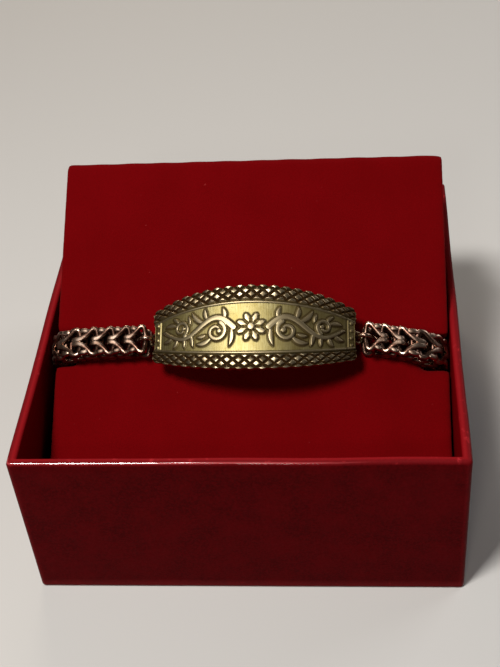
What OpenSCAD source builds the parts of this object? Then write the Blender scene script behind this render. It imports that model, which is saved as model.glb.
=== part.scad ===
// Identity bracelet laid round the sloping insert of an open gift box base.
// A wrist-curved plate with cross-cut borders, a square foxtail chain on either side of it,
// an end ring at each joint and a plain clasp under the insert.
// Millimetres, +Z up, origin at the centre of the box base's underside, front towards -Y.

/* [Box base] */
// Outer width and depth of the square base
box_w = 88; // [87.5:0.5:92]
// Height of the base
box_h = 38.4; // [34:0.2:44]
// Thickness of its board walls
wall_t = 1.9; // [1.5:0.1:2.2]

/* [Insert] */
// Width of the sloping insert
insert_w = 82; // [80:0.5:82.5]
// How far the insert sits off centre, towards +X
insert_shift = 0.6; // [0:0.1:0.6]
// Slope of its top, in degrees
slope = 31; // [28:0.5:34]
// Height of its top at the front wall
front_z = 17.6; // [16:0.2:20]
// Depth from its front to its high edge, on plan
insert_run = 69.3; // [67:0.1:70]
// Thickness of its sloping board
board_t = 12; // [10:0.5:13]
// Thickness of the legs under its high and its low edge
leg_t = 8; // [6:0.5:10]

/* [Plate] */
// Where the plate's middle lies, off the box's middle
plate_x = 2.1; // [0:0.1:3]
// Length along its curve
plate_l = 44.2; // [42:0.2:45]
// Radius of its outer face, curved to the wrist
plate_r = 33; // [32:0.5:35]
// Width across its middle and at its ends
plate_mid_w = 17.1; // [16:0.1:18]
plate_end_w = 10.1; // [9:0.1:11]
// Width of the plain field at the middle and at the ends
field_mid_w = 11.5; // [10.5:0.1:12]
field_end_w = 6.3; // [5.8:0.1:6.6]
// Thickness under the field
plate_t = 2.5; // [2:0.1:2.8]
// Height of its top above the insert
plate_rise = 12.4; // [12:0.1:13]
// Length of one cut diamond in the borders
diamond_l = 2.32; // [2.1:0.02:2.6]

/* [Chain] */
// Width of the chain across the slope
chain_w = 6.2; // [6:0.05:6.3]
// Thickness of the chain out of the slope
chain_t = 5.3; // [5.2:0.05:5.5]
// How far the left run of chain wanders down the slope
left_drift = 0.45; // [0:0.05:0.8]
// How far the right run of chain wanders down the slope
right_drift = 2.2; // [0:0.1:2.4]

/* [Hidden] */
$fn = 48;

gap = 0.15;            // running clearance between loose pieces
half_box = box_w / 2;
inner_half = half_box - wall_t;

// Seat of the insert inside the tray, as points of its side profile [y, z].
insert_front = -inner_half + 2 * gap;
insert_back = insert_front + insert_run;
insert_foot_z = wall_t + gap;
insert_edge_r = 1.5;   // rounding of the high edge
function top_z(y) = front_z + (y - insert_front) * tan(slope);
function under_z(y) = top_z(y) - board_t / cos(slope);

// The bracelet is built in the slope's own frame: X across, Y up the slope, Z out of it.
loop_y = -9.7;         // where the loop crosses the top of the insert
module on_slope() {
    translate([0, loop_y, top_z(loop_y)]) rotate([slope, 0, 0]) children();
}

// One folded link, as a quarter of its outline: out from the chain's axis, along the chain
// towards the plate, and half the spread of its two wires.
link_quarter = [
    [2.53, 0.09, 0.485],   // end of the waist
    [2.54, 2.05, 0.495],   // where its two wires part
    [2.28, 3.99, 2.440],   // widest part of the ear
    [1.27, 4.59, 0.000]];  // tip of the ear
wire_r = 0.42;
wire_sides = 5;
link_step = 1.7;               // a link every step, each turned 90 degrees from the last
heart = [0, 2.2, 0];           // a point inside the folded link that every wire goes round
half_w = chain_w / 2;
half_t = chain_t / 2;
wide = (half_w - wire_r) / link_quarter[1][0];
thick = (half_t - wire_r) / link_quarter[1][0];

// End ring: a long ring through the plate's lug and the ears of the first link.
ring_reach = 2.7;      // lug hole to where the ring passes through the ears
ring_half = 2.55;
ring_wire_r = 0.45;

// Lug on each end of the plate, a tongue that tapers to an eye.
lug_out = 1.45;        // end face to the centre of the lug's hole
lug_r = 1.38;
lug_root = 4.6;        // width where it leaves the plate
lug_hole_r = 0.84;
lug_t = 0.8;
end_angle = plate_l / 2 / plate_r * 180 / PI;
plate_centre_z = plate_rise - plate_r;
mid_r = plate_r - plate_t / 2;
joint_x = mid_r * sin(end_angle) + lug_out * cos(end_angle);
joint_z = plate_centre_z + mid_r * cos(end_angle) - lug_out * sin(end_angle);

// The chain's route from a joint, outwards: an easy lead down to the board, along it, round
// its edge, down the side, and back underneath. Each row is [length, turn in degrees].
lie_z = half_t + gap;          // height of the chain's axis where it lies on the board
side_x = inner_half - half_t - 2 * gap;
bend_r = 6.5;
bend_l = bend_r * PI / 2;
lead_l = 6;
lead_turn = 2 * atan((joint_z - lie_z) / lead_l);
under_run_z = -board_t - lie_z;
side_l = lie_z - under_run_z - 2 * bend_r;
clasp_half = 7.4;
function outward(side) = side_x - side * plate_x - joint_x;
function arm_route(side) = [
    [lead_l, lead_turn],
    [outward(side) - bend_r - lead_l * cos(lead_turn / 2), 0],
    [bend_l, -90],
    [side_l, 0],
    [bend_l, -90],
    [side_x - side * plate_x - bend_r - clasp_half, 0]];
function total(rows, i = 0) = i < len(rows) ? rows[i][0] + total(rows, i + 1) : 0;
first_link = ring_reach + 2 * link_step;
function link_count(side) =      // even, so that the last link's ears lie up and down the slope
    2 * floor(((total(arm_route(side)) - first_link) / link_step + 1) / 2);

// State on a route is [outward x, z, heading]. advance() moves it along one arc or line.
function advance(p, l, turn) = turn == 0
    ? [p[0] + l * cos(p[2]), p[1] + l * sin(p[2]), p[2]]
    : let (r = l / (turn * PI / 180), h = p[2] + turn)
      [p[0] + r * (sin(h) - sin(p[2])), p[1] - r * (cos(h) - cos(p[2])), h];
function walk(rows, a, p, i = 0) = a <= rows[i][0] || i == len(rows) - 1
    ? concat(advance(p, a, rows[i][1] * a / rows[i][0]), rows[i][1] * PI / 180 / rows[i][0])
    : walk(rows, a - rows[i][0], advance(p, rows[i][0], rows[i][1]), i + 1);
function pose(side, a) = walk(arm_route(side), a, [0, joint_z, -lead_turn]);

// Sideways wander of the chain, a smooth function of its distance from the joint across the box.
function ease(t) = let (c = min(1, max(0, t))) c * c * (3 - 2 * c);
function wander(side, x) = -(side < 0 ? left_drift : right_drift) * ease(x / 18);

// A point beside the route: a along it, u up the slope, v out of the slope.
function beside(side, a, u, v) = let (p = pose(side, a))
    [plate_x + side * (joint_x + p[0] - v * sin(p[2])), u + wander(side, p[0]), p[1] + v * cos(p[2])];
// Wires are thinner in a bend, and most of all on its inside, where the links close up.
function squeeze(side, a, v) = let (k = pose(side, a)[3]) min(1, 1 - k * v) * (1 - 1.2 * abs(k));

function unit(v) = v / norm(v);

// Outline of a link as [out, along, spread], all the way round.
function ear(m) = [for (j = [0:6]) let (q = link_quarter[j < 4 ? j : 6 - j])
    [m * q[0], q[1], m * (j < 4 ? -1 : 1) * q[2]]];
link_outline = concat(ear(1), ear(-1));
ring_outline = [for (m = [1, -1]) each [for (q = [[1.5, 0], [2.3, 0.5], [ring_half, 1.35],
    [2.3, ring_reach - 0.45], [1.5, ring_reach]]) [m * q[0], m > 0 ? q[1] : ring_reach - q[1], 0]]];

// Closed wire through the outline's points. Ears of a crosswise link point up the slope and
// down it, those of the others stand out of the slope and into it.
function wire_path(side, at, outline, crosswise) = [for (p = outline) crosswise
    ? beside(side, at - p[1], wide * p[0], thick * p[2])
    : beside(side, at - p[1], wide * p[2], thick * p[0])];
function wire_rings(path, mid, radii, sides) = [for (i = [0:len(path) - 1]) let (
    n = len(path),
    t = unit(path[(i + 1) % n] - path[(i + n - 1) % n]),
    out = path[i] - mid,
    a = unit(out - (out * t) * t),
    b = cross(t, a))
    for (j = [0:sides - 1])
        path[i] + radii[i] * (cos(j * 360 / sides) * a + sin(j * 360 / sides) * b)];
function wire_faces(n, sides, start) = [for (i = [0:n - 1], j = [0:sides - 1]) let (
    k = (i + 1) % n, m = (j + 1) % sides,
    a = start + i * sides + j, b = start + i * sides + m,
    c = start + k * sides + m, d = start + k * sides + j)
    each [[a, c, b], [a, d, c]]];

module wires(side, outline, sides, radius, stations, first_crosswise) {
    n = len(outline);
    points = [for (k = [0:len(stations) - 1]) let (
        crosswise = (k % 2 == 0) == first_crosswise,
        path = wire_path(side, stations[k], outline, crosswise),
        mid = beside(side, stations[k] - heart[1], 0, 0),
        radii = [for (p = outline)
            radius * squeeze(side, stations[k] - p[1], crosswise ? p[2] : p[0])])
        each wire_rings(path, mid, radii, sides)];
    faces = [for (k = [0:len(stations) - 1]) each wire_faces(n, sides, k * n * sides)];
    polyhedron(points = points, faces = faces, convexity = 10);
}

module chain(side) {
    color("peru") on_slope()
        wires(side, link_outline, wire_sides, wire_r,
              [for (k = [0:link_count(side) - 1]) first_link + k * link_step], false);
}

module end_ring(side) {
    color("peru") on_slope() wires(side, ring_outline, 6, ring_wire_r, [ring_reach], false);
}

module box_tray() {
    color("firebrick") difference() {
        translate([-half_box, -half_box, 0]) cube([box_w, box_w, box_h]);
        translate([-inner_half, -inner_half, wall_t])
            cube([2 * inner_half, 2 * inner_half, box_h]);
    }
}

// Side profile of the insert: a sloping board on two legs, with its high edge rounded.
function high_edge() = let (r = insert_edge_r,
    c = [insert_back - r, top_z(insert_back) - r * tan(slope) - r / cos(slope)])
    [for (a = [90 + slope:-(90 + slope) / 5:0]) c + r * [cos(a), sin(a)]];
insert_profile = concat(
    [[insert_front, insert_foot_z], [insert_front, front_z]],
    high_edge(),
    [[insert_back, insert_foot_z], [insert_back - leg_t, insert_foot_z],
     [insert_back - leg_t, under_z(insert_back - leg_t)],
     [insert_front + leg_t, under_z(insert_front + leg_t)],
     [insert_front + leg_t, insert_foot_z]]);

// What is cut away so that the chain can wrap the board's edge: all but a round-edged board end.
notch_half = half_w + 4 * gap;
notch_x = side_x - half_t - gap;
notch_r = bend_r - half_t - gap;
module notch(side) {
    translate([0, wander(side, outward(side)), 0]) rotate([90, 0, 0])
        linear_extrude(2 * notch_half, center = true) scale([side, 1]) difference() {
            translate([notch_x - notch_r, -board_t - 2]) square([14, board_t + 4]);
            translate([notch_x - 2 * notch_r, notch_r - board_t])
                square([2 * notch_r, board_t - 2 * notch_r]);
            for (z = [-notch_r, notch_r - board_t]) translate([notch_x - notch_r, z]) circle(notch_r);
        }
}

module ramp_insert() {
    color("darkred") difference() {
        translate([insert_shift - insert_w / 2, 0, 0]) rotate([90, 0, 90])
            linear_extrude(insert_w) polygon(insert_profile);
        on_slope() for (side = [-1, 1]) notch(side);
    }
}

// Plate. Its outline is a lens with cut-off ends, drawn on the curved face by s along the
// curve and w across it.
function lens(mid, end, s) = let (sag = (mid - end) / 2, a = plate_l / 2,
    r = (a * a + sag * sag) / (2 * sag)) mid / 2 - r + sqrt(r * r - s * s);
function on_plate(s, w, h) = let (a = s / plate_r * 180 / PI)
    [plate_x + (plate_r + h) * sin(a), w, plate_centre_z + (plate_r + h) * cos(a)];

cuts = 2 * round(plate_l / diamond_l);     // half diamonds along the plate
cut_high = 0.5;        // points of the diamonds above the field
cut_low = 0.12;        // bottom of the cross cuts
band_rows = 3;
bead_w = 0.25;
// Half of a cross section at column i, from the field outwards, as [w, h].
function half_section(i) = let (s = plate_l * (i / cuts - 0.5),
    f = lens(field_mid_w, field_end_w, s), o = lens(plate_mid_w, plate_end_w, s)) concat(
    [[f - 3 * bead_w, 0], [f - 2 * bead_w, 0.16], [f - bead_w, 0], [f, -0.2]],
    [for (j = [0:band_rows]) [f + bead_w / 2 + (o - f - bead_w / 2) * j / band_rows,
        (i + j) % 2 == 0 ? cut_high : cut_low]],
    [[o, -0.6], [o - 0.5, -plate_t]]);
function section(i) = let (up = half_section(i), n = len(up), s = plate_l * (i / cuts - 0.5))
    [for (r = [0:2 * n]) r < n ? on_plate(s, -up[n - 1 - r][0], up[n - 1 - r][1])
        : r < 2 * n ? on_plate(s, up[r - n][0], up[r - n][1])
        : on_plate(s, 0, -plate_t)];

module plate_body() {
    ring = len(section(0));
    side_rows = len(half_section(0));
    band_first = side_rows - 2 - band_rows - 1;
    quads = [for (i = [0:cuts - 1], r = [0:ring - 1]) let (
        m = (r + 1) % ring,
        a = i * ring + r, b = i * ring + m, c = (i + 1) * ring + m, d = (i + 1) * ring + r,
        // the diagonal of a border's cell runs along the cut between two diamonds
        j = r < side_rows ? side_rows - 1 - r - band_first : r - side_rows - band_first,
        a_is_low = (i + j) % 2 != 0)
        each a_is_low ? [[a, b, c], [a, c, d]] : [[a, b, d], [b, c, d]]];
    caps = [[for (r = [ring - 1:-1:0]) r], [for (r = [0:ring - 1]) cuts * ring + r]];
    polyhedron(points = [for (i = [0:cuts]) each section(i)], faces = concat(quads, caps),
               convexity = 6);
}

module at_plate(s, w) {
    translate([plate_x, w, plate_centre_z]) rotate([0, s / plate_r * 180 / PI, 0])
        translate([0, 0, plate_r]) children();
}

// Bars across the field's ends: a straight bead, and a row of round grains outside it.
bar_s = plate_l / 2 - 1.75;
grain_s = plate_l / 2 - 0.95;
module end_bar(side) {
    half = lens(field_mid_w, field_end_w, bar_s) - 0.5;
    hull() for (m = [-1, 1]) at_plate(side * bar_s, m * half)
        translate([0, 0, -0.3]) cylinder(h = 0.6, r1 = 0.4, r2 = 0.2, $fn = 6);
    for (m = [-1.5:1:1.5]) at_plate(side * grain_s, m * half / 2)
        translate([0, 0, -0.2]) cylinder(h = 0.5, r1 = 0.45, r2 = 0.25, $fn = 6);
}

module lug(side) {
    translate([plate_x, 0, plate_centre_z]) rotate([0, side * end_angle, 0])
        translate([side * lug_out, 0, mid_r]) linear_extrude(lug_t, center = true) difference() {
            union() {
                circle(lug_r, $fn = 24);
                polygon([for (m = [-1, 1], t = [-m, m]) t > 0
                    ? [-side * (lug_out + 0.5), m * lug_root / 2]
                    : [-side * 0.35, m * 0.9 * lug_r]]);
            }
            circle(lug_hole_r, $fn = 16);
        }
}

// Raised scrollwork in the field. A stroke is a ribbon with sloping sides that follows a path
// of [s, w, half width] and is sunk a little into the field.
vine_h = 0.42;
curl_h = 0.50;
leaf_h = 0.36;
petal_h = 0.46;
knob_h = 0.62;
relief_sunk = 0.3;
relief_slope = 0.14;
module stroke(path, high) {
    n = len(path);
    points = [for (i = [0:n - 1]) let (
        before = path[max(i - 1, 0)], after = path[min(i + 1, n - 1)],
        t = unit([after[0] - before[0], after[1] - before[1]]), half = path[i][2])
        for (e = [[half + relief_slope, -relief_sunk], [half, high],
                  [-half, high], [-half - relief_slope, -relief_sunk]])
            on_plate(path[i][0] - e[0] * t[1], path[i][1] + e[0] * t[0], e[1])];
    sides = [for (i = [0:n - 2], j = [0:3]) let (
        a = 4 * i + j, b = 4 * i + (j + 1) % 4, c = b + 4, d = a + 4)
        each [[a, c, b], [a, d, c]]];
    last = 4 * n - 4;
    ends = [[0, 1, 2], [0, 2, 3], [last, last + 2, last + 1], [last, last + 3, last + 2]];
    polyhedron(points = points, faces = concat(sides, ends), convexity = 6);
}
function mirrored(m, path) = [for (p = path) [m * p[0], p[1], p[2]]];
module knob(s, w, r) {
    at_plate(s, w) translate([0, 0, -relief_sunk])
        cylinder(h = relief_sunk + knob_h, r1 = r + relief_slope, r2 = r, $fn = 8);
}

// A vine sways from the rosette to the end bar. Curls spring from it, and leaves from both.
vine_start = 3.5;
vine_end = 18.4;
vine = [for (t = [0:1 / 11:1.001])
    [vine_start + (vine_end - vine_start) * t,
     2.35 * (1 - 0.42 * t) * sin(360 * t), 0.72 - 0.36 * t]];

// A curl by its middle [s, w], the side it springs from, its radius and its half width.
curls = [[7.05, -0.72, 1, 2.0, 0.52], [14.75, 0.52, -1, 1.62, 0.43]];
function curl(c) = [for (t = [0:0.1:1.001]) let (
    turn = 420 * t - 62, reach = c[3] * (1 - 0.64 * t))
    [c[0] - reach * cos(turn), c[1] - c[2] * reach * sin(turn), c[4] * (1 - 0.35 * t)]];

// A leaf by its root [s, w], the heading it starts at, its length, its bend and its half width.
leaves = [
    [9.90, 1.30, 22, 3.5, 50, 0.62], [9.00, 1.95, 62, 2.4, 40, 0.58],
    [5.30, 1.95, 96, 2.3, -40, 0.58], [3.90, -0.45, -98, 3.5, 34, 0.62],
    [8.35, -2.20, -42, 3.2, 58, 0.62], [9.35, -1.40, -20, 1.9, 30, 0.46],
    [12.40, -1.15, -92, 2.4, -20, 0.54], [14.10, -1.65, -96, 1.8, 10, 0.46],
    [15.75, -1.60, -78, 1.9, 45, 0.48], [17.10, -1.00, -40, 2.2, 45, 0.46],
    [16.10, 1.35, 18, 2.7, -40, 0.50], [15.50, 1.80, 62, 1.8, -50, 0.46],
    [18.20, 0.05, 25, 1.4, -25, 0.42], [12.72, 1.45, 84, 1.7, -20, 0.44]];
function leaf_swell(t) = 0.5 + 1.75 * t - 2.1 * t * t;
function leaf(l) = let (k = l[4] * PI / 180) [for (t = [0:1 / 4:1.001])
    [l[0] + l[3] / k * (sin(l[2] + l[4] * t) - sin(l[2])),
     l[1] - l[3] / k * (cos(l[2] + l[4] * t) - cos(l[2])), l[5] * leaf_swell(t)]];

module rosette() {
    petals = 8;
    for (k = [0:petals - 1]) let (a = 360 / petals * (k + 0.5)) hull() {
        at_plate(1.25 * cos(a), 1.25 * sin(a)) cylinder(h = petal_h - 0.03, r = 0.25, $fn = 6);
        at_plate(2.3 * cos(a), 2.3 * sin(a)) translate([0, 0, -relief_sunk])
            cylinder(h = relief_sunk + petal_h, r1 = 0.66, r2 = 0.5, $fn = 7);
    }
    knob(0, 0, 0.8);
}

module relief() {
    rosette();
    for (m = [-1, 1]) {
        stroke(mirrored(m, vine), vine_h);
        for (c = curls) {
            stroke(mirrored(m, curl(c)), curl_h);
            let (tip = curl(c)[10]) knob(m * tip[0], tip[1], 1.1 * c[4]);
        }
        for (l = leaves) stroke(mirrored(m, leaf(l)), leaf_h);
    }
}

module id_plate() {
    color("gold") on_slope() {
        plate_body();
        for (side = [-1, 1]) {
            end_bar(side);
            lug(side);
        }
        relief();
    }
}

// Plain clasp under the insert: a flat body with an eye at each end for a chain's last link.
clasp_w = 5.2;
clasp_t = 3.2;
eye_t = 1.2;
eye_wall = 0.65;
function last_waist(side) = let (
    p = pose(side, first_link + (link_count(side) - 1) * link_step)) plate_x + side * (joint_x + p[0]);
module clasp_eye(side) {
    hole = wire_r + 1.4 * gap;
    hole_h = 2 * (thick * link_quarter[0][2] + hole);
    translate([last_waist(side), 0, under_run_z]) rotate([90, 0, 0])
        linear_extrude(eye_t, center = true) difference() {
            translate([side > 0 ? -3 : -hole - eye_wall, -hole_h / 2 - eye_wall])
                square([3 + hole + eye_wall, hole_h + 2 * eye_wall]);
            translate([-hole, -hole_h / 2]) square([2 * hole, hole_h]);
        }
}

module clasp() {
    a = last_waist(-1) + 1.6;
    b = last_waist(1) - 1.6;
    r = clasp_w / 2;
    color("peru") on_slope() {
        translate([0, 0, under_run_z - clasp_t / 2]) linear_extrude(clasp_t) {
            translate([a + r, -r]) square([b - a - 2 * r, clasp_w]);
            for (x = [a + r, b - r]) translate([x, 0]) circle(r);
        }
        for (side = [-1, 1]) clasp_eye(side);
    }
}

box_tray();
ramp_insert();
id_plate();
end_ring(-1);  // end_ring_left
end_ring(1);  // end_ring_right
chain(-1);  // chain_left
chain(1);  // chain_right
clasp();
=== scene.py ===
# %% [markdown]
# # A gold identity bracelet in its gift box
# A curved plate with cut borders sits between two runs of square chain. The bracelet is wrapped
# round the sloping velour insert of an open red box base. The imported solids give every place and
# size, and this lesson makes the surfaces that show: cut diamonds, cast scrolls, round wire,
# velour and wrapped paper.

# %% Load the frame
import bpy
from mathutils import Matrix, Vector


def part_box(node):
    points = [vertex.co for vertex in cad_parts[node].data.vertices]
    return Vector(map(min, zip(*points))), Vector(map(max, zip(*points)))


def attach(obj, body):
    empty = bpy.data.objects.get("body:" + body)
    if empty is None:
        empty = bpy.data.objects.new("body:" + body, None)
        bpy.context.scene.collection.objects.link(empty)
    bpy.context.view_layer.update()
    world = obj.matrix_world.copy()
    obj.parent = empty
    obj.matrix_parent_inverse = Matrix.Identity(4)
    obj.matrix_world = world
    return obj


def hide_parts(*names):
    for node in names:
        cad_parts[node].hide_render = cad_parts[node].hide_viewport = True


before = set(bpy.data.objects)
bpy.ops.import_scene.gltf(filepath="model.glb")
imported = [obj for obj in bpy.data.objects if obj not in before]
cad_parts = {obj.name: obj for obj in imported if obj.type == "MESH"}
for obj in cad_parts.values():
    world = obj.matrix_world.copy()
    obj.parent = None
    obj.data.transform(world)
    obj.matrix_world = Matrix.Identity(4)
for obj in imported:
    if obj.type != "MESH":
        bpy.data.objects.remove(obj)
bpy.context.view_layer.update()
print("solids:", sorted(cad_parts))

# %% Modules and units
import math

import bpy
import numpy as np
from mathutils import Vector

MM = 0.001                  # sizes below are in millimetres, and pieces are made in metres
rng = np.random.default_rng(7)
print("made with Blender", bpy.app.version_string)

# %% [markdown]
# ## The camera
# The photograph looks down at the box from a little right of its middle. The lens and the place
# come from the box's own edges, so the render can be laid over the photograph. The camera is made
# first, because each look at the work starts from it.

# %% Camera
camera_data = bpy.data.cameras.new("camera")
camera_data.lens = 65.33
camera_data.sensor_width = 36
camera = bpy.data.objects.new("camera", camera_data)
camera.location = (0.02364, -0.19262, 0.20794)
camera.rotation_euler = [math.radians(a) for a in (47.50, 4.12, 3.30)]
bpy.context.scene.collection.objects.link(camera)
bpy.context.scene.camera = camera
print("camera is", round(camera.location.length, 3), "m from the box")

# %% [markdown]
# ## The slope's own frame
# The bracelet lies on a slope, so it is far simpler to describe beside the slope than beside the
# table. A point there has three numbers: across, up the slope, and out of it. One function turns
# such points into metres in the part's frame.

# %% From the slope to the part's frame
SLOPE = math.radians(31)
INSERT_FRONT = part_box("ramp_insert")[0][1] / MM
FRONT_Z = 17.6              # height of the insert's top at its front edge
LOOP_Y = -9.7               # where the bracelet's middle crosses the insert
LOOP_Z = FRONT_Z + (LOOP_Y - INSERT_FRONT) * math.tan(SLOPE)


def off_slope(points):
    """Points (across, up the slope, out of it) in millimetres become places in metres."""
    across, up, out = np.moveaxis(np.asarray(points, float), -1, 0)
    y = LOOP_Y + up * math.cos(SLOPE) - out * math.sin(SLOPE)
    z = LOOP_Z + up * math.sin(SLOPE) + out * math.cos(SLOPE)
    return np.stack([across, y, z], axis=-1) * MM


print("the loop crosses the insert at", off_slope((0, 0, 0)).round(4))

# %% [markdown]
# ## Shader values that add up
# A finish is easier to read as a sum than as a web of nodes. The class below wraps a socket, so
# that `1 - mask` or `grain * 0.2` adds its own Math node. Every other node comes from one method,
# which takes the node's type, its settings and what goes into its sockets.

# %% A value in a shader
class Value:
    """One output of a node, with arithmetic."""

    def __init__(self, finish, socket):
        self.finish = finish
        self.socket = socket

    def math(self, operation, first, second):
        return self.finish.node("ShaderNodeMath", {"operation": operation}, {0: first, 1: second})

    def __add__(self, other):
        return self.math("ADD", self, other)

    def __sub__(self, other):
        return self.math("SUBTRACT", self, other)

    def __rsub__(self, other):
        return self.math("SUBTRACT", other, self)

    def __mul__(self, other):
        return self.math("MULTIPLY", self, other)

    __radd__ = __add__
    __rmul__ = __mul__


# %% A finish
class Finish:
    """A material with one Principled shader. Constants are set on its sockets directly."""

    def __init__(self, name, **constants):
        self.material = bpy.data.materials.new(name)
        self.material.use_nodes = True
        self.tree = self.material.node_tree
        self.shader = self.tree.nodes["Principled BSDF"]
        for words, constant in constants.items():
            self.socket(words).default_value = constant

    def socket(self, words):
        """The shader's socket for a plain name, such as base_color or coat_ior."""
        return self.shader.inputs[words.replace("_", " ").title().replace("Ior", "IOR")]

    def plug(self, target, value):
        """Links a value to a socket, or sets a plain number or colour there."""
        if isinstance(value, Value):
            self.tree.links.new(value.socket, target)
        else:
            target.default_value = value

    def node(self, kind, settings=None, values=None, output=0):
        """Adds a node: settings first, then the values or links of its sockets."""
        made = self.tree.nodes.new(kind)
        for key, setting in (settings or {}).items():
            setattr(made, key, setting)
        for key, value in (values or {}).items():
            self.plug(made.inputs[key], value)
        return Value(self, made.outputs[output])

    def surface(self, **values):
        """Plugs what varies over the surface into the shader."""
        for words, value in values.items():
            self.plug(self.socket(words), value)

    def mix(self, factor, first, second):
        """Colours go through a Mix node, because a Math node would turn them grey."""
        colours = [c if isinstance(c, Value) else (*c, 1) for c in (first, second)]
        return self.node("ShaderNodeMix", {"data_type": "RGBA"},
                         {0: factor, 6: colours[0], 7: colours[1]}, output=2)

    def stretched(self, where, scale):
        """A place, stretched along each axis."""
        return self.node("ShaderNodeVectorMath", {"operation": "MULTIPLY"}, {0: where, 1: scale})

    def place(self, stretch=(1, 1, 1)):
        """Coordinates in millimetres on the object, stretched where a grain runs one way."""
        metres = self.node("ShaderNodeTexCoord", output="Object")
        return self.stretched(metres, tuple(k / MM for k in stretch))

    def painted(self, attribute, output="Fac"):
        """A mask that the mesh carries at its points, or with output Vector a place."""
        return self.node("ShaderNodeAttribute", {"attribute_name": attribute}, output=output)

    def noise(self, where, size, detail=2.0, roughness=0.5):
        """Soft noise around 0.5, whose blobs are about size millimetres wide."""
        return self.node("ShaderNodeTexNoise", {}, {"Vector": where, "Scale": 1 / size,
                                                    "Detail": detail, "Roughness": roughness})

    def ramp(self, value, low, high, dark=0.0, light=1.0):
        """Value from dark at low to light at high, and flat beyond."""
        return self.node("ShaderNodeMapRange", {"clamp": True},
                         {"Value": value, "From Min": low, "From Max": high,
                          "To Min": dark, "To Max": light})

    def bump(self, height, depth, normal=None):
        """A Bump node: height from 0 to 1 stands for depth millimetres."""
        values = {"Height": height, "Strength": 1.0, "Distance": depth * MM}
        if normal is not None:
            values["Normal"] = normal
        return self.node("ShaderNodeBump", {}, values)


print("a finish is ready to be mixed")

# %% [markdown]
# ## Pieces
# Each piece is a mesh from points and faces. It rides on the one body of this part and stands for
# the solid that it dresses.

# %% Add a piece to the scene
def add_piece(name, points, faces, finish, slot, *nodes, masks=None):
    """Makes a smooth-shaded mesh that stands for the named solids. Masks are kept at its points."""
    mesh = bpy.data.meshes.new(name)
    mesh.from_pydata(np.asarray(points).tolist(), [], [list(f) for f in faces])
    mesh.shade_smooth()
    for mask, values in (masks or {}).items():
        values = np.asarray(values, np.float32)
        kind = "FLOAT" if values.ndim == 1 else "FLOAT_VECTOR"
        field = "value" if values.ndim == 1 else "vector"
        mesh.attributes.new(mask, kind, "POINT").data.foreach_set(field, values.ravel())
    made = bpy.data.objects.new(name, mesh)
    bpy.context.scene.collection.objects.link(made)
    made.data.materials.append(finish.material)
    dress(made, slot, *nodes)


def dress(made, slot, *nodes):
    """Ties a piece to the part's body and hides the solids that it stands for. The slot is not used."""
    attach(made, "root")
    if nodes:
        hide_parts(*nodes)
    print(made.name, "has", len(made.data.polygons), "faces")


def tube_faces(rings, around, closed=True):
    """Faces of a skin over rings of points. closed joins the last ring to the first."""
    faces = []
    for ring in range(rings if closed else rings - 1):
        for k in range(around):
            a = ring * around + k
            b = ring * around + (k + 1) % around
            c = (ring + 1) % rings * around + (k + 1) % around
            d = (ring + 1) % rings * around + k
            faces.append((a, b, c, d))
    return faces


# %% [markdown]
# ## The box base
# A gift box base is rigid board wrapped in glossy paper. The paper rounds every edge and wears
# pale at the foot and the corners, and the rim is paler too, partly scuffed and partly painted light.
# Inside it is painted a lighter red, for the light on the inner walls. Only the front rim catches
# the light, as a thin broken line: a glossy coat there mirrors the lamp, over a pale painted
# highlight. The shell is one profile that is carried round a square with rounded corners: up the
# outside, over the rim and down the inside to the floor. A cube with bevels would do too, but the
# profile also gives the step where the wrap ends inside, and its rows carry the masks for the pale
# edges, the painted inner light and the glossy line with its painted highlight.

# %% Paper finish
def paper_finish():
    paper = Finish("box_paper", ior=1.07, coat_roughness=0.10, coat_ior=2.2)
    where = paper.place()
    fibre = paper.noise(where, 0.45, detail=4)
    clouds = paper.noise(where, 6.0, detail=3)
    scuff = paper.ramp(paper.noise(where, 2.2, detail=5, roughness=0.7), 0.60, 0.72)
    edge, painted_inner_light, gloss_and_painted_highlight = (paper.painted(mask) for mask in ("edge", "painted_inner_light", "gloss_and_painted_highlight"))
    red = paper.mix(paper.ramp(clouds, 0.35, 0.65), (0.052, 0.0004, 0.0010), (0.076, 0.0006, 0.0015))
    red = paper.mix(paper.ramp(fibre, 0.35, 0.7, light=0.6), red, (0.112, 0.0014, 0.0030))
    # painted light: the inside of the box is a lighter red
    red = paper.mix(painted_inner_light, red, (0.17, 0.0012, 0.003))
    # paler at the edges: wear at the foot and corners, and on the rim partly painted light
    red = paper.mix(edge * (0.20 + 0.60 * scuff), red, (0.52, 0.030, 0.038))
    # painted highlight: a pale line along the front rim, under the glossy coat
    red = paper.mix(gloss_and_painted_highlight * 0.55, red, (0.75, 0.11, 0.12))
    paper.surface(base_color=red, roughness=0.30 + 0.16 * clouds + 0.25 * (edge * scuff),
                  coat_weight=gloss_and_painted_highlight * paper.ramp(clouds, 0.38, 0.58, dark=0.1, light=0.75),
                  normal=paper.bump(fibre, 0.02, paper.bump(clouds, 0.06)))
    return paper


paper = paper_finish()
print("paper is mixed")

# %% The shell's profile
BOX_HALF, _, BOX_HEIGHT = np.array(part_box("box_tray")[1]) / MM
WALL, FLOOR = 1.9, 1.9                  # board with its paper
FOOT_R, RIM_R, CORNER_R = 0.5, 0.75, 0.9
TURNED_IN, PAPER_T = 17.0, 0.14         # how far down inside the wrap goes, and its step there


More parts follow.
